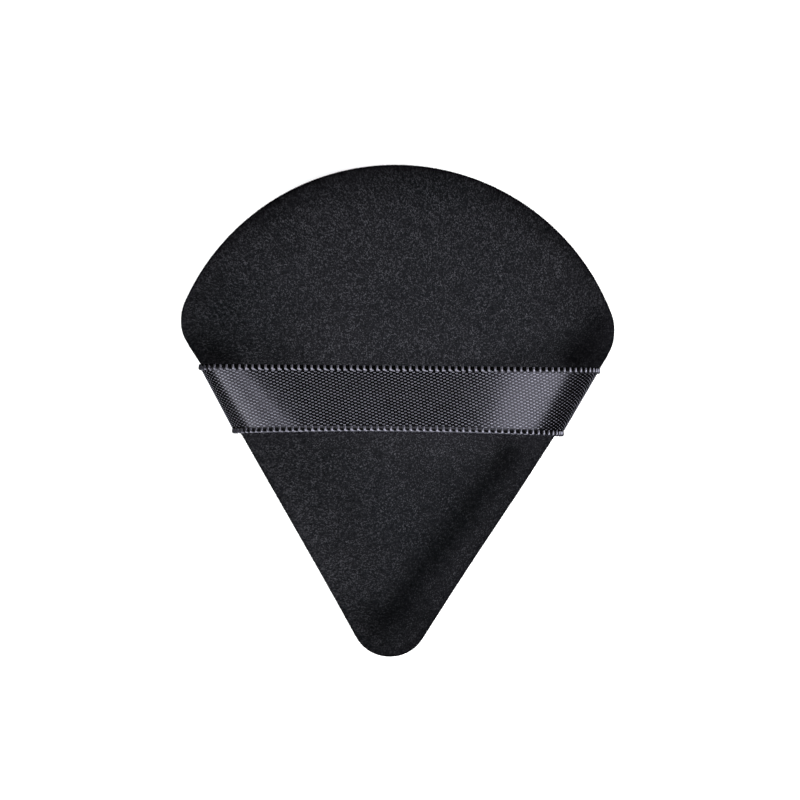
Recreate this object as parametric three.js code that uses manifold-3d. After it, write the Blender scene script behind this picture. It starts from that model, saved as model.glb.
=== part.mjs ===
// A fan-shaped velour powder puff with a satin finger strap, in millimetres, +Z up.
// It lies on its powder face with the tip towards -Y and the strap on top, and the origin is the
// middle of its footprint on the table. Two velour panels are sewn together and turned, so their
// seam allowances point inwards, round a foam core. The ends of the strap are caught in that seam
// on both straight sides, and a gap left in the seam for the foam is closed by hand.
import * as THREE from "three";
import { mergeVertices } from "three/addons/utils/BufferGeometryUtils.js";
import Module from "manifold-3d";

// Outline of the puff, seen from above
const PUFF_WIDTH = 70.6; // across the shoulders
const PUFF_LENGTH = 80; // from the tip to the top of the crown
const SHOULDER_DROP = 25.8; // from the top of the crown down to the widest point
const SHOULDER_RADIUS = 6.8;
const TIP_RADIUS = 6.4;

// Pad, measured from the plane of the seam
const FRONT_DEPTH = 5.2; // down to the flat powder face
const BACK_RISE = 5.3; // up to where the rounded edge ends
const BACK_CROWN = 1.8; // further up to the middle of the back
const EDGE_WIDTH = 10; // how far the rounded edge reaches in from the outline
const VELOUR_THICKNESS = 1.5;

// Seam and its threads
const SEAM_SLIT = 0.2; // between the two panels
const SEAM_ALLOWANCE = 2.2; // from the stitches to the cut edge
const ALLOWANCE_THICKNESS = 0.8; // velour pressed flat by the stitches
const STITCH_LENGTH = 4;
const STITCH_DIP = 0.5; // length of thread either side of a stitch hole that slopes into it
const THREAD_RADIUS = 0.15;
const TURNING_GAP = 24; // length of the right side that is closed by hand
const TURNING_GAP_RISE = 8; // along the right side, from its foot at the tip to that gap

// Finger strap
const STRAP_WIDTH = 11;
const STRAP_THICKNESS = 0.4;
const STRAP_DROP = 38.4; // from the top of the crown down to the middle of the strap
const STRAP_GAP = 5.6; // room for fingers between the back and the middle of the strap
const STRAP_STANDOFF = 0.5; // between the pad's edge and the strap beside it

// Clearances
const FIT = 0.3; // between soft pieces that lie against each other
const HOLE_CLEARANCE = 0.1; // round a thread in its hole

// Facets
const SHOULDER_STEPS = 5;
const CROWN_STEPS = 18;
const SIDE_STEPS = 3;
const TIP_STEPS = 8;
const EDGE_STEPS = 5;
const CROWN_RINGS = 4;
const STRAP_STEPS = 28;
const SHARPEST_CORNER = 0.5; // radius that a corner keeps when an inset uses up its own

const wasm = await Module();
wasm.setup();

// Solids

// A closed surface through rings of points. A ring of one point closes an end.
function loft(rings) {
  const points = rings.flat();
  const index = [];
  let start = 0;
  for (let i = 0; i + 1 < rings.length; i++) {
    const [here, there] = [rings[i].length, rings[i + 1].length];
    const next = start + here;
    const sides = Math.max(here, there);
    for (let j = 0; j < sides; j++) {
      const k = (j + 1) % sides;
      if (here > 1) index.push(start + j, start + k, next + (j % there));
      if (there > 1) index.push(start + (k % here), next + k, next + j);
    }
    start = next;
  }
  const geometry = new THREE.BufferGeometry().setFromPoints(points);
  return geometry.setIndex(enclosedVolume(points, index) < 0 ? index.reverse() : index);
}

function enclosedVolume(points, index) {
  const normal = new THREE.Vector3();
  let sum = 0;
  for (let i = 0; i < index.length; i += 3) {
    normal.crossVectors(points[index[i]], points[index[i + 1]]);
    sum += normal.dot(points[index[i + 2]]) / 6;
  }
  return sum;
}

function toManifold(geometry) {
  const bare = geometry.clone().deleteAttribute("normal").deleteAttribute("uv");
  const merged = mergeVertices(bare);
  const vertProperties = merged.attributes.position.array;
  const triVerts = new Uint32Array(merged.index.array);
  return new wasm.Manifold(new wasm.Mesh({ numProp: 3, vertProperties, triVerts }));
}

function cut(geometry, tools) {
  const left = tools.reduce((solid, tool) => solid.subtract(toManifold(tool)), toManifold(geometry));
  const { vertProperties, triVerts } = left.getMesh();
  const made = new THREE.BufferGeometry();
  made.setAttribute("position", new THREE.BufferAttribute(vertProperties, 3));
  return made.setIndex(new THREE.BufferAttribute(triVerts, 1));
}

// Outline: a crown arc, two shoulder arcs and a tip arc, joined by two straight sides

const top = PUFF_LENGTH / 2;
const shoulderX = PUFF_WIDTH / 2 - SHOULDER_RADIUS;
const shoulderY = top - SHOULDER_DROP;
const crownHeight = SHOULDER_DROP - SHOULDER_RADIUS;
const crownY = shoulderY - (shoulderX ** 2 - crownHeight ** 2) / (2 * crownHeight);
const crownRadius = top - crownY;
const tipY = TIP_RADIUS - top;
const tipToShoulder = new THREE.Vector2(shoulderX, shoulderY - tipY);
const sideLean =
  Math.atan2(tipToShoulder.x, tipToShoulder.y) +
  Math.asin((SHOULDER_RADIUS - TIP_RADIUS) / tipToShoulder.length());
const sideReach = TIP_RADIUS - Math.sin(sideLean) * tipY; // from the origin square to a side

// Half the puff's width on a straight side
function sideX(y) {
  return (sideReach + Math.sin(sideLean) * y) / Math.cos(sideLean);
}

// Centre of an arc that lies deep inside a side and inside the crown by the same amount
function shoulderCentre(deep) {
  const across = sideReach - deep + Math.sin(sideLean) * crownY;
  const along = Math.sqrt((crownRadius - deep) ** 2 - across ** 2);
  return new THREE.Vector2(
    across * Math.cos(sideLean) + along * Math.sin(sideLean),
    crownY - across * Math.sin(sideLean) + along * Math.cos(sideLean),
  );
}

// The outline moved in by inset, anticlockwise from the top of the right side
function outlineCurves(inset) {
  const shoulderDeep = Math.max(SHOULDER_RADIUS, inset + SHARPEST_CORNER);
  const tipDeep = Math.max(TIP_RADIUS, inset + SHARPEST_CORNER);
  const centre = shoulderCentre(shoulderDeep);
  const join = Math.atan2(centre.y - crownY, centre.x);
  const arc = (x, y, radius, from, to) => new THREE.EllipseCurve(x, y, radius, radius, from, to);
  const shoulderRadius = shoulderDeep - inset;
  const right = arc(centre.x, centre.y, shoulderRadius, -sideLean, join);
  const crown = arc(0, crownY, crownRadius - inset, join, Math.PI - join);
  const left = arc(-centre.x, centre.y, shoulderRadius, Math.PI - join, Math.PI + sideLean);
  const tipCentreY = (tipDeep - sideReach) / Math.sin(sideLean);
  const tip = arc(0, tipCentreY, tipDeep - inset, Math.PI + sideLean, 2 * Math.PI - sideLean);
  const side = (from, to) => new THREE.LineCurve(from.getPoint(1), to.getPoint(0));
  return [right, crown, left, side(left, tip), tip, side(tip, right)];
}

const outlineSteps = [SHOULDER_STEPS, CROWN_STEPS, SHOULDER_STEPS, SIDE_STEPS, TIP_STEPS, SIDE_STEPS];

// The outline at a height above the seam plane, moved in and then shrunk towards the crown's centre
function ring(inset, z, share = 1) {
  const points = outlineCurves(inset).flatMap((curve, i) => curve.getPoints(outlineSteps[i]).slice(1));
  return points.map((p) => new THREE.Vector3(p.x * share, crownY + (p.y - crownY) * share, z));
}

function belowSeam(rings) {
  return rings.map((points) => points.map((p) => new THREE.Vector3(p.x, p.y, -p.z)));
}

// Pad surfaces: a parabola, upright at the seam and sloping gently at the face, then a low dome

const panelFoot = SEAM_SLIT / 2;

// How far a skin, offset into the pad, has climbed its edge at height z, from 0 to 1
function edgeClimb(offset, rise, z) {
  return (z - panelFoot) / (rise - panelFoot - offset);
}

function edgeInset(offset, climb) {
  return offset + (EDGE_WIDTH - offset) * climb ** 2;
}

// Rings from height z on the edge up to the middle of the face
function skin(offset, z, rise, crown) {
  const start = edgeClimb(offset, rise, z);
  const rings = [];
  for (let i = 0; i <= EDGE_STEPS; i++) {
    const climb = start + ((1 - start) * i) / EDGE_STEPS;
    rings.push(ring(edgeInset(offset, climb), panelFoot + (rise - panelFoot - offset) * climb));
  }
  for (let i = 1; i < CROWN_RINGS; i++) {
    const share = 1 - i / CROWN_RINGS;
    rings.push(ring(EDGE_WIDTH, rise - offset + crown * (1 - share ** 2), share));
  }
  rings.push([new THREE.Vector3(0, crownY, rise - offset + crown)]);
  return rings;
}

// Seam line: where the threads run over the allowances, clear of the velour wall beside them

const allowanceTop = panelFoot + ALLOWANCE_THICKNESS;
const runHeight = allowanceTop + FIT + THREAD_RADIUS;
const dipHeight = THREAD_RADIUS + HOLE_CLEARANCE / 2; // the two threads meet in the seam plane
const threadTop = runHeight + THREAD_RADIUS;
const wallInset = Math.max(
  ...[BACK_RISE, FRONT_DEPTH].map((rise) =>
    edgeInset(VELOUR_THICKNESS, edgeClimb(VELOUR_THICKNESS, rise, threadTop)),
  ),
);
const seamInset = wallInset + FIT + THREAD_RADIUS;
const cutInset = seamInset + SEAM_ALLOWANCE;
const seam = new THREE.CurvePath();
seam.curves = outlineCurves(seamInset);
const seamLength = seam.getLength();
const rightSideStart = seamLength - seam.curves.at(-1).getLength();
const gapStart = rightSideStart + TURNING_GAP_RISE;
const gapEnd = gapStart + TURNING_GAP;

// A thread through stations, each a distance along the seam line and a height above its plane
function thread(stations) {
  const shares = stations.map(([along]) => THREE.MathUtils.euclideanModulo(along / seamLength, 1));
  const points = stations.map(([, height], i) => {
    const onSeam = seam.getPoint(shares[i]);
    return new THREE.Vector3(onSeam.x, onSeam.y, height);
  });
  const rings = points.map((point, i) => {
    const onSeam = seam.getTangent(shares[i]);
    const across = new THREE.Vector3(-onSeam.y, onSeam.x, 0).multiplyScalar(THREAD_RADIUS);
    const before = points[Math.max(i - 1, 0)];
    const after = points[Math.min(i + 1, points.length - 1)];
    const along = after.clone().sub(before).normalize();
    const up = along.clone().cross(across);
    return [across, up, across.clone().negate(), up.clone().negate()].map((arm) => arm.add(point));
  });
  return loft([[points[0]], ...rings, [points.at(-1)]]);
}

function holesBetween(start, end) {
  const count = Math.round((end - start) / STITCH_LENGTH);
  return Array.from({ length: count - 1 }, (_, i) => start + ((i + 1) * (end - start)) / count);
}

const machineStart = gapEnd;
const machineEnd = gapStart + seamLength;
const machineHoles = holesBetween(machineStart, machineEnd);
const handStart = gapStart + FIT;
const handEnd = gapEnd - FIT;
const handHoles = holesBetween(handStart, handEnd);

// Lockstitch thread: lies on one allowance and dips into each hole. side is +1 above, -1 below.
function lockstitch(side) {
  const dips = machineHoles.flatMap((hole) => [
    [hole - STITCH_DIP, side * runHeight],
    [hole, side * dipHeight],
    [hole + STITCH_DIP, side * runHeight],
  ]);
  return thread([[machineStart, side * runHeight], ...dips, [machineEnd, side * runHeight]]);
}

// Hand stitch: crosses both allowances at each hole, over and under in turn
function runningStitch() {
  const heightBefore = (i) => (i % 2 ? -runHeight : runHeight);
  const crossings = handHoles.flatMap((hole, i) => [
    [hole - STITCH_DIP, heightBefore(i)],
    [hole + STITCH_DIP, heightBefore(i + 1)],
  ]);
  return thread([[handStart, runHeight], ...crossings, [handEnd, heightBefore(handHoles.length)]]);
}

// A slot through both allowances, as long as the sloping thread in it
function stitchHole(along) {
  const share = THREE.MathUtils.euclideanModulo(along / seamLength, 1);
  const centre = seam.getPoint(share);
  const length = 2 * (STITCH_DIP + HOLE_CLEARANCE);
  const width = 2 * (THREAD_RADIUS + HOLE_CLEARANCE);
  const slot = new THREE.BoxGeometry(length, width, 2 * allowanceTop + FIT);
  return slot.rotateZ(seam.getTangent(share).angle()).translate(centre.x, centre.y, 0);
}

const stitchHoles = [...machineHoles, ...handHoles].map(stitchHole);

// Finger strap

const strapY = top - STRAP_DROP;
const strapEdges = [strapY - STRAP_WIDTH / 2, strapY + STRAP_WIDTH / 2];

// A sewn-in end of the ribbon, or with grow the pocket it presses into the allowances
function strapTail(side, grow = 0) {
  const outer = STRAP_STANDOFF + STRAP_THICKNESS + grow;
  const inner = cutInset / Math.cos(sideLean) + grow;
  const [low, high] = [strapEdges[0] - grow, strapEdges[1] + grow];
  const corners = [
    [sideX(low) - inner, low],
    [sideX(low) + outer, low],
    [sideX(high) + outer, high],
    [sideX(high) - inner, high],
  ];
  const shape = new THREE.Shape(corners.map(([x, y]) => new THREE.Vector2(side * x, y)));
  const depth = STRAP_THICKNESS + 2 * grow;
  return new THREE.ExtrudeGeometry(shape, { depth, bevelEnabled: false }).translate(0, 0, -depth / 2);
}

// The free span: half an ellipse over the pad, its ends slanted like the sides it is sewn to
function strapSpan() {
  const base = STRAP_THICKNESS / 2 + FIT;
  const rise = BACK_RISE + BACK_CROWN + STRAP_GAP - base;
  const [low, high] = strapEdges;
  const corners = [
    [low, 0],
    [high, 0],
    [high, STRAP_THICKNESS],
    [low, STRAP_THICKNESS],
  ];
  const sections = Array.from({ length: STRAP_STEPS + 1 }, (_, i) => {
    const angle = (Math.PI * i) / STRAP_STEPS;
    return corners.map(([y, outwards]) => {
      const reach = sideX(y) + STRAP_STANDOFF + outwards;
      return new THREE.Vector3(reach * Math.cos(angle), y, base + (rise + outwards) * Math.sin(angle));
    });
  });
  const endPoint = (section) => section[0].clone().add(section[2]).divideScalar(2);
  return loft([[endPoint(sections[0])], ...sections, [endPoint(sections.at(-1))]]);
}

// Cover and filling

const strapPockets = [1, -1].map((side) => strapTail(side, FIT / 2));

function panelRings(rise, crown) {
  const outside = skin(0, panelFoot, rise, crown).reverse();
  const allowance = [ring(cutInset, panelFoot), ring(cutInset, allowanceTop)];
  return [...outside, ...allowance, ...skin(VELOUR_THICKNESS, allowanceTop, rise, crown)];
}

function sewnPanel(rings) {
  return cut(loft(rings), [...strapPockets, ...stitchHoles]);
}

// Foam that fills the cover, with a groove round its rim for the seam allowances and threads
function foamCore() {
  const offset = VELOUR_THICKNESS + FIT;
  const lip = threadTop + FIT;
  const above = skin(offset, lip, BACK_RISE, BACK_CROWN).reverse();
  const below = belowSeam(skin(offset, lip, FRONT_DEPTH, 0));
  return loft([...above, ring(cutInset + FIT, lip), ring(cutInset + FIT, -lip), ...below]);
}

// Materials

function cloth(color, roughness) {
  return new THREE.MeshStandardMaterial({ color, roughness, metalness: 0 });
}

const velour = cloth(0x1c1c1f, 0.95);
const satin = cloth(0x2e2e33, 0.4);
const foam = cloth(0x3a3a3c, 0.9);
const polyester = cloth(0x18181a, 0.6);

// Assembly: pieces are modelled from the seam plane, which lies FRONT_DEPTH above the table

function mesh(name, geometry, material) {
  const made = new THREE.Mesh(geometry, material);
  made.name = name;
  return made;
}

const pad = new THREE.Group();
pad.position.z = FRONT_DEPTH;
pad.add(
  mesh("front_panel", sewnPanel(belowSeam(panelRings(FRONT_DEPTH, 0))), velour),
  mesh("back_panel", sewnPanel(panelRings(BACK_RISE, BACK_CROWN)), velour),
  mesh("foam_core", foamCore(), foam),
  mesh("strap_end_right", cut(strapTail(1), stitchHoles), satin),
  mesh("strap_end_left", cut(strapTail(-1), stitchHoles), satin),
  mesh("needle_thread", lockstitch(1), polyester),
  mesh("bobbin_thread", lockstitch(-1), polyester),
  mesh("closing_thread", runningStitch(), polyester),
);

const strap = new THREE.Group();
strap.position.z = FRONT_DEPTH;
strap.add(mesh("finger_strap", strapSpan(), satin));

const puff = new THREE.Group();
puff.add(pad, strap);

export default puff;
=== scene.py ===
"""A black velour powder puff with a satin finger strap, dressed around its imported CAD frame.

Lengths are in metres. The puff lies on its powder face, tip towards -Y, with the strap on top.
The sections follow the way the puff is put together: cover, pile, strap, seam threads, filling.
"""
import math
import bpy
import numpy as np
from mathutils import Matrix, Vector
from mathutils.bvhtree import BVHTree


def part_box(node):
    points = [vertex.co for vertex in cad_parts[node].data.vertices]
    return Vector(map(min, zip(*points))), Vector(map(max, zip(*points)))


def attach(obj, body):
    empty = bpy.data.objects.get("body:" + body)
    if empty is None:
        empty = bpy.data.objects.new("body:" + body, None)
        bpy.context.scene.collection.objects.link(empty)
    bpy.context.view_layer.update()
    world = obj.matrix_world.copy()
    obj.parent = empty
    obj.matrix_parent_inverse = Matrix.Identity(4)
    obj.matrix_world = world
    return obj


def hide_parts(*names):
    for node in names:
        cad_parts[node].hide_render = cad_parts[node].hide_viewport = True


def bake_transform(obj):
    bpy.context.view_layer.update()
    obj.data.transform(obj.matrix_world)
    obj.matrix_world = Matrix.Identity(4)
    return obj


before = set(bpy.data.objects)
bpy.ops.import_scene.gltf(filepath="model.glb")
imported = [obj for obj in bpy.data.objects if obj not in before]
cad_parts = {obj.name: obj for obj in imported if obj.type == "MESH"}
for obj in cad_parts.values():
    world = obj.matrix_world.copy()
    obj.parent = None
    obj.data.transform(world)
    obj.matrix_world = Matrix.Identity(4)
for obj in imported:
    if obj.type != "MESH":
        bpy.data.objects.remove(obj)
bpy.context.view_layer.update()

# Cover: two panels of cotton velour cut to the same fan outline, sewn together and turned, so
# that the seam shows only as a pinched line round the edge. The foam behind it presses the back
# out into a low crown, and the front lies flat on the table.
MM = 0.001
panel_low, panel_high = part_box("back_panel")
PUFF_WIDTH = panel_high.x - panel_low.x
PUFF_LENGTH = panel_high.y - panel_low.y
SEAM_Z = (panel_low.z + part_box("front_panel")[1].z) / 2
PILE_LENGTH = 0.32 * MM
PILE_PROUD = 0.4 * PILE_LENGTH
BACK_Z = panel_high.z - PILE_PROUD
FRONT_Z = PILE_PROUD
SHOULDER_DROP = 25.8 * MM
SHOULDER_RADIUS = 6.8 * MM
SHOULDER_STEPS = 14
CROWN_ARC_STEPS = 72
TIP_RADIUS = 6.4 * MM
TIP_STEPS = 20
SIDE_STEPS = 36
SHARPEST_CORNER = 2 * MM
COVER_INSET = -0.15 * MM
EDGE_WIDTH = 10 * MM
EDGE_STEPS = 22
EDGE_START = 0.02
CROWN_STEPS = 16
BACK_CROWN = 1.8 * MM
SEAM_PINCH = 0.45 * MM
SEAM_PINCH_HEIGHT = 0.5 * MM
SEAM_TUCK = 2 * MM
SEAM_GAP = 0.02 * MM
CLOTH_THICKNESS = 0.5 * MM

crown_top = PUFF_LENGTH / 2
shoulder_x = PUFF_WIDTH / 2 - SHOULDER_RADIUS
shoulder_y = crown_top - SHOULDER_DROP
crown_height = SHOULDER_DROP - SHOULDER_RADIUS
crown_y = shoulder_y - (shoulder_x**2 - crown_height**2) / (2 * crown_height)
crown_radius = crown_top - crown_y
tip_y = TIP_RADIUS - crown_top
tip_to_shoulder = math.hypot(shoulder_x, shoulder_y - tip_y)
side_lean = math.atan2(shoulder_x, shoulder_y - tip_y)
side_lean += math.asin((SHOULDER_RADIUS - TIP_RADIUS) / tip_to_shoulder)
side_reach = TIP_RADIUS - math.sin(side_lean) * tip_y


def side_x(y):
    """Half the puff's width at y on its straight sides."""
    return (side_reach + math.sin(side_lean) * y) / math.cos(side_lean)


def outline(inset):
    """Points of the fan outline moved in by inset, anticlockwise from the top of the right side."""
    deep = max(SHOULDER_RADIUS, inset + SHARPEST_CORNER)
    across = side_reach - deep + math.sin(side_lean) * crown_y
    along = math.sqrt((crown_radius - deep) ** 2 - across**2)
    x = across * math.cos(side_lean) + along * math.sin(side_lean)
    y = crown_y - across * math.sin(side_lean) + along * math.cos(side_lean)
    join = math.atan2(y - crown_y, x)
    tip_deep = max(TIP_RADIUS, inset + SHARPEST_CORNER)
    tip_centre = (tip_deep - side_reach) / math.sin(side_lean)

    def arc(centre_x, centre_y, radius, start, end, steps):
        turn = np.linspace(start, end, steps)
        return np.column_stack((centre_x + radius * np.cos(turn), centre_y + radius * np.sin(turn)))

    tip_start, tip_end = math.pi + side_lean, 2 * math.pi - side_lean
    right = arc(x, y, deep - inset, -side_lean, join, SHOULDER_STEPS)
    crown = arc(0, crown_y, crown_radius - inset, join, math.pi - join, CROWN_ARC_STEPS)
    left = arc(-x, y, deep - inset, math.pi - join, math.pi + side_lean, SHOULDER_STEPS)
    tip = arc(0, tip_centre, tip_deep - inset, tip_start, tip_end, TIP_STEPS)
    left_side = np.linspace(left[-1], tip[0], SIDE_STEPS)[1:-1]
    right_side = np.linspace(tip[-1], right[0], SIDE_STEPS)[1:-1]
    return np.concatenate((right, crown[1:], left[1:], left_side, tip, right_side))


# The real cover is a little fuller than its outline in these places. Each has a height, a middle
# along the puff and a reach, all in millimetres, and the right side is full up to its middle.
RIGHT_SIDE = (0.45, 10, 2)
RIGHT_SHOULDER = (0.45, 9, 3.5)
LEFT_SHOULDER = (0.35, 10, 3)
LOW_TIP = (0.3, -40, 8)
FULL_FROM = 20 * MM


def hump(y, height, middle, reach):
    """A smooth hump along the puff, with its sizes in millimetres."""
    return height * np.exp(-(((y / MM - middle) / reach) ** 2))


def slide(y, height, middle, reach):
    """A smooth fall along the puff, from height to nothing, with its sizes in millimetres."""
    return height / (1 + np.exp((y / MM - middle) / reach))


def ring(inset, z, share=1.0):
    """The outline at height z, shrunk by share, with the cover's fuller places."""
    middle = np.array((0, crown_y))
    x, y = (middle + (outline(inset) - middle) * share).T
    right = slide(y, *RIGHT_SIDE) + hump(y, *RIGHT_SHOULDER)
    left = hump(y, *LEFT_SHOULDER)
    outwards = np.clip(np.abs(x) / FULL_FROM, 0, 1) ** 2
    fuller = np.where(x > 0, right, -left) * outwards
    return np.column_stack((x + fuller * MM, y - hump(y, *LOW_TIP) * MM, np.full(len(x), z)))


def panel_rings(face_z, crown):
    """Rings of one panel, from its tuck inside the seam to the middle of its face."""
    up = math.copysign(1, face_z - SEAM_Z)
    rings = [ring(COVER_INSET + SEAM_TUCK, SEAM_Z + up * SEAM_GAP)]
    for climb in np.linspace(EDGE_START, 1, EDGE_STEPS):
        height = abs(face_z - SEAM_Z) * climb
        pinch = SEAM_PINCH * math.exp(-((height / SEAM_PINCH_HEIGHT) ** 2))
        inset = COVER_INSET + EDGE_WIDTH * climb**2 + pinch
        rings.append(ring(inset, SEAM_Z + up * height))
    for share in np.linspace(1, 0, CROWN_STEPS + 1)[1:-1]:
        rings.append(ring(COVER_INSET + EDGE_WIDTH, face_z + up * crown * (1 - share**2), share))
    return rings


# The cover's form comes from a simulation in which air fills it, ten times life size, because cloth
# is steadier there. Its seam is held, and the finished panels are laid on the form that comes out.
SIM_SCALE = 10
VOXEL = 16 * MM
PRESSURE = 4.0
LAST_FRAME = 20
SEAM_HELD = 12 * MM
STILL_HEIGHT = 1 * MM
EASE_HEIGHT = 3 * MM
MOST_SWELL = 1.2 * MM
EVEN_PASSES = 8


def loft(rings, close_start=False):
    """Points and faces of a surface through rings of equal length, with its end closed by a point."""
    count = len(rings[0])
    points = [point for one in rings for point in one]
    here = np.arange(count)
    there = (here + 1) % count
    faces = []
    for i in range(len(rings) - 1):
        low, high = i * count, (i + 1) * count
        faces += [(low + a, low + b, high + b, high + a) for a, b in zip(here, there)]
    points.append(np.mean(rings[-1], axis=0))
    last = (len(rings) - 1) * count
    faces += [(last + a, last + b, len(points) - 1) for a, b in zip(here, there)]
    if close_start:
        points.append(np.mean(rings[0], axis=0))
        faces += [(b, a, len(points) - 1) for a, b in zip(here, there)]
    return np.array(points), [tuple(int(k) for k in face) for face in faces]


def make_piece(name, points, faces, material=None):
    """A mesh object at the origin, smooth, with its place in its points."""
    mesh = bpy.data.meshes.new(name)
    mesh.from_pydata([tuple(map(float, point)) for point in points], [], faces)
    mesh.polygons.foreach_set("use_smooth", [True] * len(mesh.polygons))
    if material:
        mesh.materials.append(material)
    made = bpy.data.objects.new(name, mesh)
    bpy.context.scene.collection.objects.link(made)
    return made


def as_mesh(source, name):
    """The evaluated mesh of source, as a new object of its own."""
    evaluated = source.evaluated_get(bpy.context.evaluated_depsgraph_get())
    made = bpy.data.objects.new(name, bpy.data.meshes.new_from_object(evaluated))
    bpy.context.scene.collection.objects.link(made)
    return made


def stuffed_form():
    """The simulated surface of the stuffed cover, as a tree for nearest-point searches."""
    back = panel_rings(BACK_Z - BACK_CROWN, 0)[1:]
    front = panel_rings(FRONT_Z, 0)[1:]
    points, faces = loft(back[::-1] + front, close_start=True)
    empty = make_piece("empty_cover", points * SIM_SCALE, faces)
    empty.modifiers.new("even_mesh", "REMESH").voxel_size = VOXEL
    form = as_mesh(empty, "stuffed_cover")
    held = [v.index for v in form.data.vertices if abs(v.co.z - SEAM_Z * SIM_SCALE) < SEAM_HELD]
    form.vertex_groups.new(name="seam").add(held, 1.0, "REPLACE")
    cloth = form.modifiers.new("stuffing", "CLOTH").settings
    cloth.vertex_group_mass = "seam"
    cloth.use_pressure = True
    cloth.uniform_pressure_force = PRESSURE
    cloth.effector_weights.gravity = 0
    for step in range(1, LAST_FRAME + 1):
        bpy.context.scene.frame_set(step)
    result = as_mesh(form, "stuffed_result")
    surface = [v.co / SIM_SCALE for v in result.data.vertices]
    polygons = [tuple(p.vertices) for p in result.data.polygons]
    for used in (empty, form, result):
        bpy.data.objects.remove(used)
    return BVHTree.FromPolygons(surface, polygons)


def lay_on_form(points, form):
    """Points moved onto the stuffed form, less and less towards the seam, with the moves evened out."""
    moves = []
    for point in points:
        place = Vector(point)
        move = form.find_nearest(place)[0] - place
        away = min(1, max(0, (abs(place.z - SEAM_Z) - STILL_HEIGHT) / EASE_HEIGHT))
        move *= away * away * (3 - 2 * away)
        if move.length > MOST_SWELL:
            move *= MOST_SWELL / move.length
        moves.append(move)
    grid = np.array(moves[:-1]).reshape(-1, len(outline(0)), 3)
    for _ in range(EVEN_PASSES):
        inner = np.concatenate((grid[1:], grid[-1:]))
        outer = np.concatenate((grid[:1], grid[:-1]))
        grid = (grid + np.roll(grid, 1, axis=1) + np.roll(grid, -1, axis=1) + inner + outer) / 5
    laid = points + np.concatenate((grid.reshape(-1, 3), grid[-1].mean(axis=0)[None]))
    laid[:, 2] = np.maximum(laid[:, 2], FRONT_Z)
    return laid


# Velour ground: the knitted back of the cloth between the tufts, painted darker than them as the shade it
# lies in. It is almost black, dull, with the small hollows of the knit about 0.35 mm apart, which are
# painted darker still.
KNIT_SPACING = 0.35 * MM
KNIT_DEPTH = 0.15 * MM


def linear(colour):
    """An sRGB hex colour such as 1c1c1f as linear RGBA."""
    parts = [int(colour[i : i + 2], 16) / 255 for i in (0, 2, 4)]
    return [c / 12.92 if c <= 0.04045 else ((c + 0.055) / 1.055) ** 2.4 for c in parts] + [1.0]


def add(tree, kind, inputs=(), **settings):
    """A node of that kind with its settings. An input that is a socket is linked, others are set."""
    node = tree.nodes.new(kind)
    for name, value in settings.items():
        setattr(node, name, value)
    for name, value in dict(inputs).items():
        if isinstance(value, bpy.types.NodeSocket):
            tree.links.new(value, node.inputs[name])
        else:
            node.inputs[name].default_value = value
    return node


def new_material(name, **values):
    """A material of that name, its node tree and its shader with these values set."""
    made = bpy.data.materials.new(name)
    made.use_nodes = True
    shader = made.node_tree.nodes["Principled BSDF"]
    for socket, value in values.items():
        shader.inputs[socket.replace("_", " ")].default_value = value
    return made, made.node_tree, shader


velour_ground, tree, shader = new_material("cotton_velour_ground", Roughness=1.0, Specular_IOR_Level=0.0)
place = add(tree, "ShaderNodeTexCoord").outputs["Object"]
knit = add(tree, "ShaderNodeTexNoise", {"Vector": place, "Scale": 1 / KNIT_SPACING, "Detail": 2.0})
shade = add(tree, "ShaderNodeValToRGB", {"Fac": knit.outputs["Fac"]})
shade.color_ramp.elements[0].color = linear("08080a")
shade.color_ramp.elements[1].color = linear("1c1c1f")
# The ground's colour times the painted shade of the cloth's slopes and creases.
painted_shade_colour = add(
    tree,
    "ShaderNodeVectorMath",
    {
        0: shade.outputs["Color"],
        "Scale": add(tree, "ShaderNodeAttribute", attribute_name="painted_shading").outputs["Fac"],
    },
    operation="SCALE",
)
tree.links.new(painted_shade_colour.outputs[0], shader.inputs["Base Color"])
hollows = add(
    tree,
    "ShaderNodeBump",
    {"Height": knit.outputs["Fac"], "Strength": 0.6, "Distance": KNIT_DEPTH},
)
tree.links.new(hollows.outputs["Normal"], shader.inputs["Normal"])

# Painted shade: how light the velour looks, by how the pile lies to the eye and how light falls on its
# slopes, is painted into its colour. The tables give the share of light by the slope of the cloth across
# and along the puff: cloth that is nearly level is painted the lightest, and the edge of the crown the
# darkest. The tip is painted darker still.
SLOPE_ACROSS = (-1.0, -0.5, -0.35, -0.2, -0.1, 0.0, 0.12, 0.25, 0.33, 0.4, 1.0)
PAINTED_LIGHT_ACROSS = (0.3, 0.42, 0.4, 0.49, 0.54, 0.53, 0.54, 0.53, 0.5, 0.47, 0.4)
SLOPE_ALONG = (-1.0, -0.4, -0.25, -0.17, -0.12, -0.04, 0.1, 0.28, 0.33, 0.4, 0.55, 0.7, 1.0)
PAINTED_LIGHT_ALONG = (0.5, 0.78, 0.97, 0.91, 0.78, 1.0, 1.0, 1.02, 0.88, 0.74, 0.6, 0.47, 0.35)
PAINTED_TIP_SHADE = (0.4, -41, 3)
# On the back, strokes of painted shade and light stand in for shallow creases and ruffled nap: darker along
# the right side, at the tip and beside the strap's ends, and lighter along the lower left side and the
# middle of the strap. Each stroke has two ends and a width, all in millimetres, and the share of light that
# it takes.
PAINTED_SHADE_STROKES = (
    ((18.6, -6.8), (-0.8, -34.6), 2.8, 0.63),
    ((-3.0, -34.5), (5.0, -34.5), 4.6, 0.33),
    ((-15.5, -19.0), (-10.5, -28.0), 4.0, -0.25),
    ((-32.9, 8.9), (-28.5, 7.9), 3.4, 0.66),
    ((-31.0, 16.0), (-19.0, 13.0), 5.0, 0.22),
    ((29.0, 9.2), (32.6, 14.7), 3.0, 0.55),
    ((29.5, 8.8), (33.5, 9.5), 2.5, 0.45),
    ((-10.0, 9.0), (12.0, 9.0), 4.0, -0.16),
    ((8.0, -5.5), (14.0, -5.5), 3.0, -0.35),
)


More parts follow.
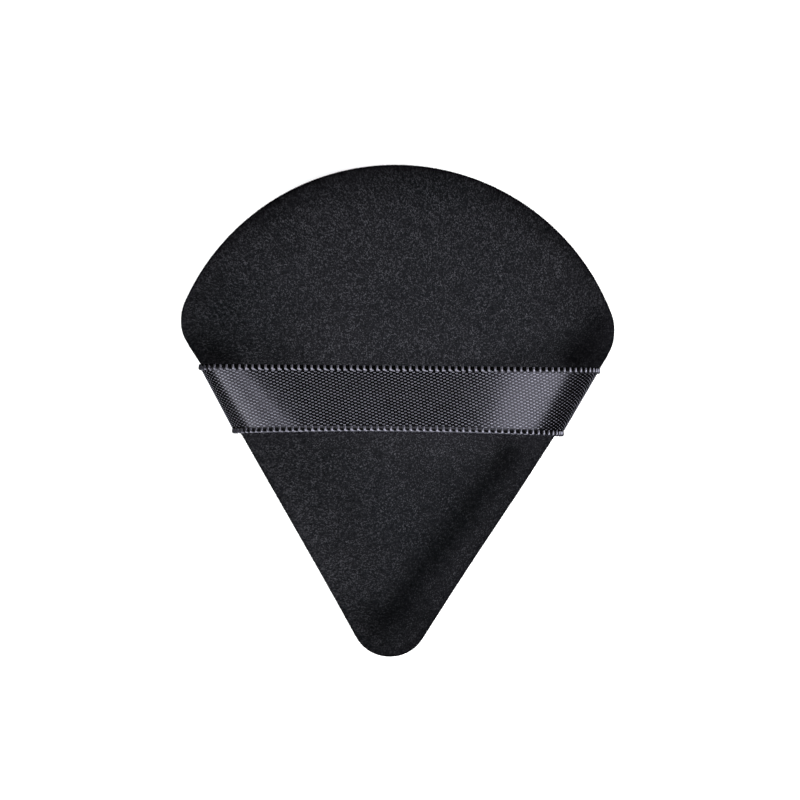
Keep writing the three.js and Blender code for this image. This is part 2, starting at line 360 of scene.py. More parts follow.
def stroke(places, start, end, width):
    """How much places lie on a stroke with soft edges: 1 on its line, falling off to 0 beside it."""
    line = end - start
    along = np.clip((places - start) @ line / (line @ line), 0, 1)
    away = np.linalg.norm(places - start - along[:, None] * line, axis=1)
    return np.exp(-((away / width) ** 2))


form = stuffed_form()
sheets = {}
for panel, face_z, crown in (("back", BACK_Z - BACK_CROWN, BACK_CROWN), ("front", FRONT_Z, 0)):
    points, faces = loft(panel_rings(face_z, crown))
    if panel == "front":
        faces = [face[::-1] for face in faces]
    sheet = make_piece(f"{panel}_sheet", points, faces, velour_ground)
    normals = np.array([vertex.normal for vertex in sheet.data.vertices])
    # Painted light and shade: the cloth's share of light by its slope, darker at the tip and along the
    # strokes.
    painted_light = np.interp(normals[:, 0], SLOPE_ACROSS, PAINTED_LIGHT_ACROSS)
    painted_light *= np.interp(normals[:, 1], SLOPE_ALONG, PAINTED_LIGHT_ALONG)
    painted_light *= 1 - hump(points[:, 1], *PAINTED_TIP_SHADE)
    for start, end, width, taken in PAINTED_SHADE_STROKES if panel == "back" else ():
        painted_light *= 1 - taken * stroke(points[:, :2] / MM, np.array(start), np.array(end), width)
    painted_shading = sheet.data.attributes.new("painted_shading", "FLOAT", "POINT")
    painted_shading.data.foreach_set("value", painted_light.astype(np.float32))
    if form:
        sheet.data.vertices.foreach_set("co", np.ravel(lay_on_form(points, form)))
        sheet.data.update()
    wall = sheet.modifiers.new("cloth_thickness", "SOLIDIFY")
    wall.thickness = CLOTH_THICKNESS
    cover = as_mesh(sheet, f"{panel}_cover")
    sheet.modifiers.remove(wall)
    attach(cover, "pad")
    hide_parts(f"{panel}_panel")
    sheets[panel] = sheet

# Pile: cut cotton tufts that stand on the knit, lean with the nap, are shorter where the cloth is drawn
# tight round the edge, and clump in faint flecks. Each stands for a bundle of fibres too fine to show.
# Light sinks into the pile, so it casts no shadow and takes the cloth's own slope, without facets.
TUFT_RADIUS = 0.1 * MM
TUFT_SIDES = 3
SHORTEST_TUFT = 0.8
LONGEST_TUFT = 1.2
PILE_LEAN = (-0.3, 0.22, 0.0)
PILE_STRAY = 0.28
EDGE_SHARE = 0.35
STEEP_CLOTH = 0.3
LEVEL_CLOTH = 0.8
CLUMP_SIZE = 1.4 * MM
DARK_FLECK = 0.55
LIGHT_FLECK = 1.45
BACK_TUFTS = 24e6
FRONT_TUFTS = 11e6

velour_pile, tree, shader = new_material("cotton_velour_pile", Roughness=1.0, Specular_IOR_Level=0.0)
tuft_tone = add(tree, "ShaderNodeAttribute", attribute_name="tuft_tone")
shade = add(tree, "ShaderNodeValToRGB", {"Fac": tuft_tone.outputs["Fac"]})
shade.color_ramp.elements[0].color = linear("040405")
shade.color_ramp.elements[1].color = linear("363639")
place = add(tree, "ShaderNodeTexCoord").outputs["Object"]
clumps = add(tree, "ShaderNodeTexNoise", {"Vector": place, "Scale": 1 / CLUMP_SIZE, "Roughness": 0.65})
fleck = add(
    tree,
    "ShaderNodeMapRange",
    {
        "Value": clumps.outputs["Fac"],
        "From Min": 0.3,
        "From Max": 0.7,
        "To Min": DARK_FLECK,
        "To Max": LIGHT_FLECK,
    },
)
# The tufts' colour takes the painted shade of the cloth's slopes and creases, times their random flecks.
painted_shading_value = add(tree, "ShaderNodeAttribute", attribute_name="painted_shading")
flecks_and_painted_shade = add(
    tree,
    "ShaderNodeMath",
    {0: painted_shading_value.outputs["Fac"], 1: fleck.outputs["Result"]},
    operation="MULTIPLY",
)
painted_shade_colour = add(
    tree,
    "ShaderNodeVectorMath",
    {0: shade.outputs["Color"], "Scale": flecks_and_painted_shade.outputs[0]},
    operation="SCALE",
)
tree.links.new(painted_shade_colour.outputs[0], shader.inputs["Base Color"])


def new_tree(name, takes, makes, kinds):
    """A Geometry Nodes tree with an input for each of kinds: the tree, its inputs, their identifiers."""
    tree = bpy.data.node_groups.new(name, "GeometryNodeTree")
    tree.interface.new_socket(name=takes, in_out="INPUT", socket_type="NodeSocketGeometry")
    sockets = [
        tree.interface.new_socket(name=label, in_out="INPUT", socket_type=f"NodeSocket{kind}").identifier
        for label, kind in kinds.items()
    ]
    tree.interface.new_socket(name=makes, in_out="OUTPUT", socket_type="NodeSocketGeometry")
    return tree, add(tree, "NodeGroupInput").outputs, sockets


def end_tree(tree, geometry, material):
    """The last nodes of a tree, which give its geometry out in that material."""
    dyed = add(tree, "GeometryNodeSetMaterial", {"Geometry": geometry, "Material": material})
    add(tree, "NodeGroupOutput", {0: dyed.outputs["Geometry"]})


def run_tree(source, tree, sockets, values, name):
    """What a tree makes of source with these values in its sockets, as a plain mesh object."""
    maker = source.modifiers.new(tree.name, "NODES")
    maker.node_group = tree
    for socket, value in zip(sockets, values):
        maker[socket] = value
    made = as_mesh(source, name)
    source.modifiers.remove(maker)
    return made


pile_kinds = {
    "Tufts per square metre": "Float",
    "Band middle": "Float",
    "Band reach": "Float",
    "Tuft length": "Float",
    "Tuft radius": "Float",
    "Lean": "Vector",
    "Stray": "Float",
    "Edge share": "Float",
    "Seed": "Int",
    "Pile material": "Material",
}
pile_tree, given, pile_sockets = new_tree("velour_pile", "Ground", "Pile", pile_kinds)
spot = add(pile_tree, "GeometryNodeInputPosition")
where = add(pile_tree, "ShaderNodeSeparateXYZ", {0: spot.outputs[0]})
in_band = add(
    pile_tree,
    "FunctionNodeCompare",
    {"A": where.outputs["Y"], "B": given["Band middle"], "Epsilon": given["Band reach"]},
    operation="EQUAL",
)
roots = add(
    pile_tree,
    "GeometryNodeDistributePointsOnFaces",
    {
        "Mesh": given["Ground"],
        "Selection": in_band.outputs[0],
        "Density": given["Tufts per square metre"],
        "Seed": given["Seed"],
    },
)
tuft = add(
    pile_tree,
    "GeometryNodeMeshCone",
    {"Vertices": TUFT_SIDES, "Radius Bottom": given["Tuft radius"], "Depth": given["Tuft length"]},
)
smooth_tuft = add(pile_tree, "GeometryNodeSetShadeSmooth", {"Geometry": tuft.outputs["Mesh"]})
astray = add(pile_tree, "FunctionNodeRandomValue", {0: (-1, -1, -1), "Seed": 7}, data_type="FLOAT_VECTOR")
wander = add(
    pile_tree,
    "ShaderNodeVectorMath",
    {0: astray.outputs[0], "Scale": given["Stray"]},
    operation="SCALE",
)
strayed = add(
    pile_tree,
    "ShaderNodeVectorMath",
    {0: roots.outputs["Normal"], 1: wander.outputs[0]},
    operation="ADD",
)
pointing = add(
    pile_tree,
    "ShaderNodeVectorMath",
    {0: strayed.outputs[0], 1: given["Lean"]},
    operation="ADD",
)
turned = add(pile_tree, "FunctionNodeAlignRotationToVector", {"Vector": pointing.outputs[0]}, axis="Z")
length = add(pile_tree, "FunctionNodeRandomValue", {2: SHORTEST_TUFT, 3: LONGEST_TUFT, "Seed": 11})
slope = add(pile_tree, "ShaderNodeSeparateXYZ", {0: roots.outputs["Normal"]})
level = add(pile_tree, "ShaderNodeMath", {0: slope.outputs["Z"]}, operation="ABSOLUTE")
drawn_tight = add(
    pile_tree,
    "ShaderNodeMapRange",
    {
        "Value": level.outputs[0],
        "From Min": STEEP_CLOTH,
        "From Max": LEVEL_CLOTH,
        "To Min": given["Edge share"],
    },
)
cut = add(
    pile_tree,
    "ShaderNodeMath",
    {0: length.outputs[1], 1: drawn_tight.outputs["Result"]},
    operation="MULTIPLY",
)
planted = add(
    pile_tree,
    "GeometryNodeInstanceOnPoints",
    {
        "Points": roots.outputs["Points"],
        "Instance": smooth_tuft.outputs["Geometry"],
        "Rotation": turned.outputs["Rotation"],
        "Scale": cut.outputs[0],
    },
)
toned = add(
    pile_tree,
    "GeometryNodeStoreNamedAttribute",
    {
        "Geometry": planted.outputs["Instances"],
        "Name": "tuft_tone",
        "Value": add(pile_tree, "FunctionNodeRandomValue", {"Seed": 13}).outputs[1],
    },
    domain="INSTANCE",
)
sloped = add(
    pile_tree,
    "GeometryNodeStoreNamedAttribute",
    {"Geometry": toned.outputs["Geometry"], "Name": "cloth_slope", "Value": roots.outputs["Normal"]},
    data_type="FLOAT_VECTOR",
    domain="INSTANCE",
)
grown = add(pile_tree, "GeometryNodeRealizeInstances", {"Geometry": sloped.outputs["Geometry"]})
cloth_slope = add(
    pile_tree,
    "GeometryNodeInputNamedAttribute",
    {"Name": "cloth_slope"},
    data_type="FLOAT_VECTOR",
)
softened = add(
    pile_tree,
    "GeometryNodeSetMeshNormal",
    {"Mesh": grown.outputs["Geometry"], "Custom Normal": cloth_slope.outputs["Attribute"]},
    mode="FREE",
    domain="POINT",
)
end_tree(pile_tree, softened.outputs["Mesh"], given["Pile material"])

# The back's pile is grown in three bands along the puff, so that no piece of it is too heavy. Tufts
# under the puff are pressed flat by the table.
band = PUFF_LENGTH / 6
pile_areas = (
    ("back_pile_crown", "back", BACK_TUFTS, 2.25 * band, 0.75 * band),
    ("back_pile_shoulders", "back", BACK_TUFTS, 0.75 * band, 0.75 * band),
    ("back_pile_tip", "back", BACK_TUFTS, -1.5 * band, 1.5 * band),
    ("front_pile", "front", FRONT_TUFTS, 0, 3 * band),
)
for seed, (name, panel, density, middle, reach) in enumerate(pile_areas, 3):
    tufts = (PILE_LENGTH, TUFT_RADIUS, PILE_LEAN, PILE_STRAY, EDGE_SHARE)
    sizes = (density, middle, reach, *tufts, seed, velour_pile)
    pile = run_tree(sheets[panel], pile_tree, pile_sockets, sizes, name)
    for vertex in pile.data.vertices:
        vertex.co.z = max(vertex.co.z, 0)
    pile.visible_shadow = False
    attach(pile, "pad")
for sheet in sheets.values():
    bpy.data.objects.remove(sheet)

# Finger strap: one length of black satin ribbon whose ends are caught in the side seams. It bows
# over the back, a little askew, and its sewn-in ends lie flat between the panels. A pair of values
# is for its lower and its upper edge, and roundness runs from 0, a square corner, to 0.5, an ellipse.
strap_low, strap_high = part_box("finger_strap")
RIBBON_WIDTH = strap_high.y - strap_low.y
RIBBON_THICKNESS = 0.25 * MM
RIBBON_Y = (strap_low.y + strap_high.y) / 2
RIBBON_STANDOFF = (0.9 * MM, 0.3 * MM)
RIBBON_SKEW = math.tan(math.radians(1.0))
RIBBON_SHIFT = 0.25 * MM
RIBBON_BOW = (0.6 * MM, 0.0)
RIBBON_TAIL = 4 * MM
RIBBON_BEND = 0.6 * MM
LEFT_ROUNDNESS = (0.33, 0.17)
RIGHT_ROUNDNESS = (0.33, 0.38)
ARCH_STEPS = 120
BEND_STEPS = 5
TAIL_STEPS = 4
ACROSS_STEPS = 12
arch_base = SEAM_Z + RIBBON_BEND
arch_rise = strap_high.z - RIBBON_THICKNESS / 2 - arch_base


def ribbon_path(y):
    """The ribbon's line, left to right, that crosses the middle at y: end, bend, arch, bend, end."""
    standoff, left_round, right_round, bow = [
        np.interp(y, (strap_low.y, strap_high.y), ends)
        for ends in (RIBBON_STANDOFF, LEFT_ROUNDNESS, RIGHT_ROUNDNESS, RIBBON_BOW)
    ]
    lean = math.tan(side_lean) * RIBBON_SKEW
    left, right = [(side_x(y) + standoff) / (1 - way * lean) + way * RIBBON_SHIFT for way in (-1, 1)]
    turn = np.linspace(math.pi, 0, ARCH_STEPS + 1)
    power = 2 * np.where(np.cos(turn) < 0, left_round, right_round)
    along = np.sign(np.cos(turn)) * np.abs(np.cos(turn)) ** power
    reach = np.where(along < 0, left, right)
    path = [np.column_stack((reach * along, arch_base + arch_rise * np.abs(np.sin(turn)) ** power))]
    quarter = np.linspace(0, math.pi / 2, BEND_STEPS + 1)[:-1]
    bend = np.column_stack((RIBBON_BEND * (1 - np.sin(quarter)), -RIBBON_BEND * np.cos(quarter)))
    flat = np.linspace(RIBBON_TAIL, RIBBON_BEND, TAIL_STEPS + 1)[:-1]
    tail = np.column_stack((flat, np.full(TAIL_STEPS, -RIBBON_BEND)))
    end = np.concatenate((tail, bend))
    path.insert(0, end + np.array((-left, arch_base)))
    path.append((end * np.array((-1, 1)) + np.array((right, arch_base)))[::-1])
    x, z = np.concatenate(path).T
    bowed = bow * np.clip(1 - (x / left) ** 2, 0, 1)
    return np.column_stack((x, y + RIBBON_SKEW * x + bowed, z))


across = np.linspace(-0.5, 0.5, ACROSS_STEPS + 1) * RIBBON_WIDTH + RIBBON_Y
paths = [ribbon_path(y) for y in across]
runs = len(paths[0])
points = np.concatenate(paths)
faces = [
    (j * runs + i, j * runs + i + 1, (j + 1) * runs + i + 1, (j + 1) * runs + i)
    for j in range(ACROSS_STEPS)
    for i in range(runs - 1)
]

# Satin: polyester filament yarns, drawn smooth, so that the floats mirror the lamps in soft bands.
# They are black, a little blue where the lamps show, and the ground between them lies in shade.
# Single filaments are too fine to show, so each streak of shade stands for a few of them.
FILAMENT_WIDTH = 0.06 * MM
STREAK_SCALE = (0.1, 1.0, 0.1)
satins = {}
for name, dark, light, smooth, rough, level in (
    ("polyester_satin_ground", "010101", "030303", 0.22, 0.27, 0.06),
    ("polyester_satin_floats", "040405", "0a0a0c", 0.29, 0.33, 1.0),
    ("polyester_satin_selvedge", "040405", "0a0a0c", 0.29, 0.36, 0.55),
):
    satins[name], tree, shader = new_material(
        name, IOR=1.6, Specular_IOR_Level=level, Specular_Tint=linear("eeecff")
    )
    place = add(tree, "ShaderNodeTexCoord").outputs["Object"]
    drawn = add(tree, "ShaderNodeMapping", {"Vector": place, "Scale": STREAK_SCALE})
    filaments = add(
        tree,
        "ShaderNodeTexNoise",
        {"Vector": drawn.outputs["Vector"], "Scale": 1 / FILAMENT_WIDTH, "Detail": 1.0},
    )
    shade = add(tree, "ShaderNodeValToRGB", {"Fac": filaments.outputs["Fac"]})
    shade.color_ramp.elements[0].color = linear(dark)
    shade.color_ramp.elements[1].color = linear(light)
    tree.links.new(shade.outputs["Color"], shader.inputs["Base Color"])
    gloss = add(
        tree,
        "ShaderNodeMapRange",
        {"Value": filaments.outputs["Fac"], "To Min": smooth, "To Max": rough},
    )
    tree.links.new(gloss.outputs["Result"], shader.inputs["Roughness"])
satin_ground, satin, satin_edge = satins.values()
ribbon = make_piece("satin_strap", points, faces, satin_ground)
wall = ribbon.modifiers.new("cloth_thickness", "SOLIDIFY")
wall.thickness = RIBBON_THICKNESS
wall.offset = 0
ribbon_solid = as_mesh(ribbon, "satin_ribbon")
bpy.data.objects.remove(ribbon)
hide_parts("finger_strap", "strap_end_left", "strap_end_right")
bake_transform(ribbon_solid)

# Floats: where the satin's weft passes over the warp it stands up in small domes, in columns
# 0.525 mm apart, each column two fifths of a row lower than the one before it. A dome's plan gives
# its width at stops along its half length, both as shares, and its section is in degrees.
COLUMN_PITCH = 0.525 * MM
ROW_PITCH = 0.53 * MM
COLUMNS_IN_STEP = 5
COLUMN_DROP = 2 / 5
FLOAT_LENGTH = 0.4 * MM
FLOAT_WIDTH = 0.19 * MM
FLOAT_HEIGHT = 0.08 * MM
FLOAT_PLAN = ((-0.97, 0.5), (-0.8, 0.93), (-0.5, 1.0), (0.5, 1.0), (0.8, 0.93), (0.97, 0.5))
FLOAT_SECTION = (0, 45, 90, 135, 180, 270)
SELVEDGE_WIDTH = 0.8 * MM
# The domes differ a little in size, as shares, and in tilt, in radians.
SMALLEST_FLOAT = (0.95, 0.92, 0.9)
LARGEST_FLOAT = (1.05, 1.05, 1.1)
FLOAT_TILT = (0.03, 0.03, 0.03)


def along_path(y, pitch, clear, shift=0.0):
    """Evenly spaced points on the arch at y, clear of its ends, with their headings and outward normals."""
    path = ribbon_path(y)
    steps = np.linalg.norm(np.diff(path, axis=0), axis=1)
    run = np.concatenate(([0], np.cumsum(steps)))
    reach = (run[-1] / 2 - RIBBON_TAIL - clear) / pitch
    stops = run[-1] / 2 + (np.arange(math.ceil(-reach - shift), reach - shift) + shift) * pitch
    before, spots, after = [
        np.column_stack([np.interp(stops + step, run, path[:, k]) for k in range(3)])
        for step in (-pitch / 4, 0, pitch / 4)
    ]
    heading = after - before
    heading /= np.linalg.norm(heading, axis=1)[:, None]
    outward = np.column_stack((-heading[:, 2], np.zeros(len(heading)), heading[:, 0]))
    return spots + outward * RIBBON_THICKNESS / 2, heading, outward


def carrier(name, rows):
    """Loose points for instances from rows of (points, headings, outward normals), with both directions."""
    spots, headings, normals = [np.concatenate(column) for column in zip(*rows)]
    made = make_piece(name, spots, [])
    for label, values in (("heading", headings), ("outward", normals)):
        stored = made.data.attributes.new(label, "FLOAT_VECTOR", "POINT")
        stored.data.foreach_set("vector", values.astype(np.float32).ravel())
    return made


def facing(tree):
    """The turn of an instance on a carrier's point: x along the heading and z along the outward normal."""
    heading, outward = [
        add(tree, "GeometryNodeInputNamedAttribute", {"Name": label}, data_type="FLOAT_VECTOR")
        for label in ("heading", "outward")
    ]
    turned = add(
        tree,
        "FunctionNodeAxesToRotation",
        {"Primary Axis": outward.outputs["Attribute"], "Secondary Axis": heading.outputs["Attribute"]},
        primary_axis="Z",
        secondary_axis="X",
    )
    return turned.outputs["Rotation"]


woven = RIBBON_WIDTH - 2 * SELVEDGE_WIDTH
rows = []
for column in range(COLUMNS_IN_STEP):
    first = ROW_PITCH * (1 - column * COLUMN_DROP % 1)
    for y in np.arange(first, woven, ROW_PITCH) + RIBBON_Y - woven / 2:
        shift = column / COLUMNS_IN_STEP
        rows.append(along_path(y, COLUMNS_IN_STEP * COLUMN_PITCH, FLOAT_LENGTH, shift))
floats_on = carrier("float_places", rows)

around = np.radians(FLOAT_SECTION)
sides = FLOAT_WIDTH / 2 * np.cos(around)
rise = FLOAT_HEIGHT * np.sin(around)
rings = [
    np.column_stack((np.full(len(around), FLOAT_LENGTH / 2 * stop), sides * fat, rise * fat))
    for stop, fat in FLOAT_PLAN
]
one_float = make_piece("one_float", *loft(rings, close_start=True), satin)

float_kinds = {
    "Float": "Object",
    "Smallest": "Vector",
    "Largest": "Vector",
    "Tilt": "Vector",
    "Yarn material": "Material",
}
float_tree, given, float_sockets = new_tree("satin_floats", "Places", "Floats", float_kinds)
dome = add(float_tree, "GeometryNodeObjectInfo", {"Object": given["Float"]})
size = add(
    float_tree,
    "FunctionNodeRandomValue",
    {0: given["Smallest"], 1: given["Largest"], "Seed": 5},
    data_type="FLOAT_VECTOR",
)
laid = add(
    float_tree,
    "GeometryNodeInstanceOnPoints",
    {
        "Points": given["Places"],
        "Instance": dome.outputs["Geometry"],
        "Rotation": facing(float_tree),
        "Scale": size.outputs[0],
    },
)
other_way = add(float_tree, "ShaderNodeVectorMath", {0: given["Tilt"], "Scale": -1.0}, operation="SCALE")
sway = add(
    float_tree,
    "FunctionNodeRandomValue",
    {0: other_way.outputs[0], 1: given["Tilt"], "Seed": 17},
    data_type="FLOAT_VECTOR",
)
tilted = add(
    float_tree,
    "GeometryNodeRotateInstances",
    {"Instances": laid.outputs["Instances"], "Rotation": sway.outputs[0]},
)
whole = add(float_tree, "GeometryNodeRealizeInstances", {"Geometry": tilted.outputs["Instances"]})
end_tree(float_tree, whole.outputs["Geometry"], given["Yarn material"])
sizes = (one_float, SMALLEST_FLOAT, LARGEST_FLOAT, FLOAT_TILT, satin)
weft = run_tree(floats_on, float_tree, float_sockets, sizes, "satin_weft")
for used in (floats_on, one_float):
    bpy.data.objects.remove(used)
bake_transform(weft)

# Selvedges: the weft turns back at each edge of the ribbon in a hook every second column, which
# stands a little above the face: a bar across the edge that bends to the right at its lower end.
# A thin rim yarn ties the hooks of the lower edge together.
LOOP_PITCH = 2 * COLUMN_PITCH
LOOP_RADIUS = 0.21 * MM
LOOP_LENGTH = 0.75 * MM
LOOP_HOOK = 0.4 * MM
LOOP_RISE = 0.1 * MM
LOOP_CLEAR = 1.4 * MM
LOOP_STEPS = 8
LOOP_SIDES = 8
RIM_RADIUS = 0.09 * MM
RIM_SIDES = 6
edge_rows = []
for side in (-1, 1):
    y = RIBBON_Y + side * (RIBBON_WIDTH / 2 - SELVEDGE_WIDTH / 2)
    edge_rows.append(along_path(y, LOOP_PITCH, LOOP_CLEAR))
loops_on = carrier("loop_places", edge_rows)

loop_kinds = {
    "Yarn radius": "Float",
    "Upper end": "Vector",
    "Bar": "Vector",
    "Corner": "Vector",
    "Hook end": "Vector",
    "Yarn material": "Material",
}
loop_tree, given, loop_sockets = new_tree("selvedge_loops", "Places", "Loops", loop_kinds)
bent = add(
    loop_tree,
    "GeometryNodeCurvePrimitiveBezierSegment",
    {
        "Resolution": LOOP_STEPS,
        "Start": given["Upper end"],
        "Start Handle": given["Bar"],
        "End Handle": given["Corner"],
        "End": given["Hook end"],
    },
)
section = add(
    loop_tree,
    "GeometryNodeCurvePrimitiveCircle",
    {"Resolution": LOOP_SIDES, "Radius": given["Yarn radius"]},
)
yarn = add(
    loop_tree,
    "GeometryNodeCurveToMesh",
    {"Curve": bent.outputs["Curve"], "Profile Curve": section.outputs["Curve"], "Fill Caps": True},
)
laid = add(
    loop_tree,
    "GeometryNodeInstanceOnPoints",
    {"Points": given["Places"], "Instance": yarn.outputs["Mesh"], "Rotation": facing(loop_tree)},
)
whole = add(loop_tree, "GeometryNodeRealizeInstances", {"Geometry": laid.outputs["Instances"]})
end_tree(loop_tree, whole.outputs["Geometry"], given["Yarn material"])
sizes = (
    LOOP_RADIUS,
    (0.0, LOOP_LENGTH / 2, 0.0),
    (0.0, -LOOP_LENGTH / 4, LOOP_RISE),
    (0.0, -LOOP_LENGTH / 2, LOOP_RISE),
    (LOOP_HOOK, -LOOP_LENGTH / 2, -LOOP_RISE),
    satin_edge,
)
selvedge = run_tree(loops_on, loop_tree, loop_sockets, sizes, "satin_selvedge")
bpy.data.objects.remove(loops_on)
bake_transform(selvedge)

around = np.linspace(0, math.tau, RIM_SIDES + 1)[:-1]
spots, heading, outward = along_path(RIBBON_Y - RIBBON_WIDTH / 2, COLUMN_PITCH, LOOP_CLEAR)
rings = [
    spot + RIM_RADIUS * (np.outer(np.cos(around), sideways) + np.outer(np.sin(around), out))
    for spot, sideways, out in zip(spots, np.cross(outward, heading), outward)
]
rim = make_piece("satin_rim", *loft(rings, close_start=True), satin_edge)
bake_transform(rim)

# The ribbon casts no shadow: in the photograph the velour is evenly lit right up to its edges.
for piece in (ribbon_solid, weft, selvedge, rim):
    piece.visible_shadow = False

# Seam threads: spun polyester, two plies twisted about 0.5 mm to the turn, dull and with a slanting
# rib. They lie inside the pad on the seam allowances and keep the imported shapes.
PLY_TWIST = 0.5 * MM
thread, tree, shader = new_material("spun_polyester_thread", Roughness=0.7, Specular_IOR_Level=0.3)
place = add(tree, "ShaderNodeTexCoord").outputs["Object"]
plies = add(
    tree,
    "ShaderNodeTexWave",
    {"Vector": place, "Scale": 1 / (math.tau * PLY_TWIST / 2), "Distortion": 1.0},
    bands_direction="DIAGONAL",
)
shade = add(tree, "ShaderNodeValToRGB", {"Fac": plies.outputs["Fac"]})
shade.color_ramp.elements[0].color = linear("0a0a0b")
shade.color_ramp.elements[1].color = linear("222225")
tree.links.new(shade.outputs["Color"], shader.inputs["Base Color"])
for name in ("needle_thread", "bobbin_thread", "closing_thread"):
    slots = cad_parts[name].data.materials
    slots.clear()
    slots.append(thread)

# Filling: a block of soft open-cell foam, cut to the fan outline and grooved round its rim by the seam
# allowances. It is matt, with small pores whose middles are painted darker as the shade in them, and is
# closed inside the cover and dyed dark so that it can't show through.
CELL_SIZE = 0.6 * MM
PORE_DEPTH = 0.3 * MM
FOAM_GAP = 0.4 * MM
FOAM_WALL = 1.5 * MM
FOAM_EDGE_STEPS = 10
FOAM_CROWN_STEPS = 7
GROOVE_HEIGHT = 1.7 * MM
GROOVE_INSET = 5.8 * MM
foam, tree, shader = new_material("open_cell_foam", Roughness=0.95, Specular_IOR_Level=0.2)
place = add(tree, "ShaderNodeTexCoord").outputs["Object"]
cells = add(tree, "ShaderNodeTexVoronoi", {"Vector": place, "Scale": 1 / CELL_SIZE})
# Painted shade: each cell is darker towards its middle.
shade = add(tree, "ShaderNodeValToRGB", {"Fac": cells.outputs["Distance"]})
shade.color_ramp.elements[0].color = linear("1d1d1f")
shade.color_ramp.elements[1].color = linear("3d3d40")
tree.links.new(shade.outputs["Color"], shader.inputs["Base Color"])
pores = add(
    tree,
    "ShaderNodeBump",
    {"Height": cells.outputs["Distance"], "Strength": 0.8, "Distance": PORE_DEPTH},
)
tree.links.new(pores.outputs["Normal"], shader.inputs["Normal"])
foam_inset = FOAM_WALL + FOAM_GAP


def foam_rings(face_z, crown):
    """Rings of half of the foam, from the lip of its groove to the middle of its face."""
    up = math.copysign(1, face_z - SEAM_Z)
    height = abs(face_z - SEAM_Z) - foam_inset
    rings = []
    for climb in np.linspace(GROOVE_HEIGHT / height, 1, FOAM_EDGE_STEPS):
        edge_inset = foam_inset + (EDGE_WIDTH - foam_inset) * climb**2
        rings.append(ring(edge_inset, SEAM_Z + up * height * climb))
    for share in np.linspace(1, 0, FOAM_CROWN_STEPS + 1)[1:-1]:
        z = SEAM_Z + up * (height + crown * (1 - share**2))
        rings.append(ring(EDGE_WIDTH, z, share))
    return rings


groove = [ring(GROOVE_INSET, SEAM_Z + up * GROOVE_HEIGHT) for up in (1, -1)]
back_half = foam_rings(BACK_Z - BACK_CROWN, BACK_CROWN)
front_half = foam_rings(FRONT_Z, 0)
points, faces = loft(back_half[::-1] + groove + front_half, close_start=True)
filling = make_piece("foam_filling", points, [face[::-1] for face in faces], foam)
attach(filling, "pad")
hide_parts("foam_core")

# Stage: a white light table, a large soft lamp at either side, the left one with a dimmer top, one
# in front, and a camera straight above, turned by the small angle of the puff in the photograph.
FLOOR_SIZE = 1.2
TABLE_GLOW = 0.65
TOOTH_SIZE = 2 * MM
TOOTH_DEPTH = 0.05 * MM
table_top, tree, shader = new_material(
    "white_light_table",
    Base_Color=linear("a8a8a7"),
    Roughness=0.9,
    Emission_Color=linear("ffffff"),
    Emission_Strength=TABLE_GLOW,
)
place = add(tree, "ShaderNodeTexCoord").outputs["Object"]
grain = add(tree, "ShaderNodeTexNoise", {"Vector": place, "Scale": 1 / TOOTH_SIZE})
tooth = add(
    tree,
    "ShaderNodeBump",
    {"Height": grain.outputs["Fac"], "Strength": 0.1, "Distance": TOOTH_DEPTH},
)
tree.links.new(tooth.outputs["Normal"], shader.inputs["Normal"])
corners = [(x * FLOOR_SIZE / 2, y * FLOOR_SIZE / 2, 0) for x, y in ((-1, -1), (1, -1), (1, 1), (-1, 1))]
floor = make_piece("floor", corners, [(0, 1, 2, 3)], table_top)
# The table's glow doesn't light the puff or show in its satin.
floor.visible_diffuse = False
floor.visible_glossy = False

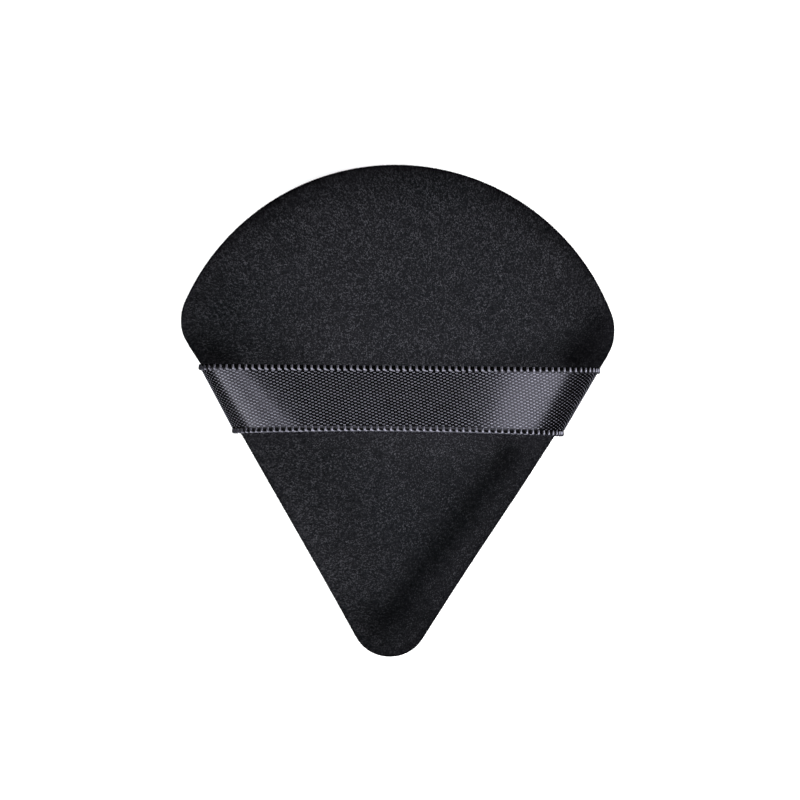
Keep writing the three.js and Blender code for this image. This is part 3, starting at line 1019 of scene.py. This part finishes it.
# Each lamp has the side it stands on and its tilt from straight above, in degrees, its distance,
# width and length, and its power in watts.
LAMPS = (
    ("left_lamp", 210, 71.5, 0.6, 0.356, 0.36, 7.5),
    ("left_top_lamp", 210, 44, 0.6, 0.233, 0.36, 3.0),
    ("right_lamp", -5, 40.5, 0.6, 0.44, 0.3, 11.0),
    ("front_lamp", -90, 32, 0.9, 0.3, 0.9, 14.5),
)
LAMP_COLOUR = (0.97, 0.98, 1.0)
ROOM_LIGHT = 0.2
for name, side, tilt, distance, width, length, power in LAMPS:
    lamp = bpy.data.lights.new(name, "AREA")
    lamp.shape = "RECTANGLE"
    lamp.size = width
    lamp.size_y = length
    lamp.energy = power
    lamp.color = LAMP_COLOUR
    stand = bpy.data.objects.new(name, lamp)
    stand.rotation_euler = (0, math.radians(tilt), math.radians(side))
    stand.location = stand.rotation_euler.to_matrix() @ Vector((0, 0, distance))
    bpy.context.scene.collection.objects.link(stand)
world = bpy.data.worlds.new("dim_room")
world.use_nodes = True
tree = world.node_tree
dim = tree.nodes["Background"]
dim.inputs["Color"].default_value = linear("f4f4f8")
dim.inputs["Strength"].default_value = ROOM_LIGHT
backdrop = add(tree, "ShaderNodeBackground", {"Color": linear("ffffff")})
seen = add(tree, "ShaderNodeLightPath").outputs["Is Camera Ray"]
room = add(tree, "ShaderNodeMixShader", {0: seen, 1: dim.outputs[0], 2: backdrop.outputs[0]})
tree.links.new(room.outputs[0], tree.nodes["World Output"].inputs["Surface"])
bpy.context.scene.world = world
world.cycles_visibility.glossy = False
bpy.context.scene.view_settings.view_transform = "Standard"

# The puff's place and length in the photograph are in pixels.
PHOTO_SIZE = 800
PHOTO_CENTRE = (395.3, 410.0)
PHOTO_LENGTH = 491.0
PHOTO_TURN = math.radians(1.52)
CAMERA_HEIGHT = 0.7
SENSOR_WIDTH = 36.0
metres_per_pixel = PUFF_LENGTH / PHOTO_LENGTH
right = (PHOTO_SIZE / 2 - PHOTO_CENTRE[0]) * metres_per_pixel
up = (PHOTO_CENTRE[1] - PHOTO_SIZE / 2) * metres_per_pixel
cosine = math.cos(PHOTO_TURN)
sine = math.sin(PHOTO_TURN)
camera = bpy.data.objects.new("camera", bpy.data.cameras.new("camera"))
camera.location = (right * cosine - up * sine, right * sine + up * cosine, SEAM_Z + CAMERA_HEIGHT)
camera.rotation_euler = (0, 0, PHOTO_TURN)
camera.data.sensor_width = SENSOR_WIDTH
camera.data.lens = SENSOR_WIDTH * CAMERA_HEIGHT / (PHOTO_SIZE * metres_per_pixel)
bpy.context.scene.collection.objects.link(camera)
bpy.context.scene.camera = camera
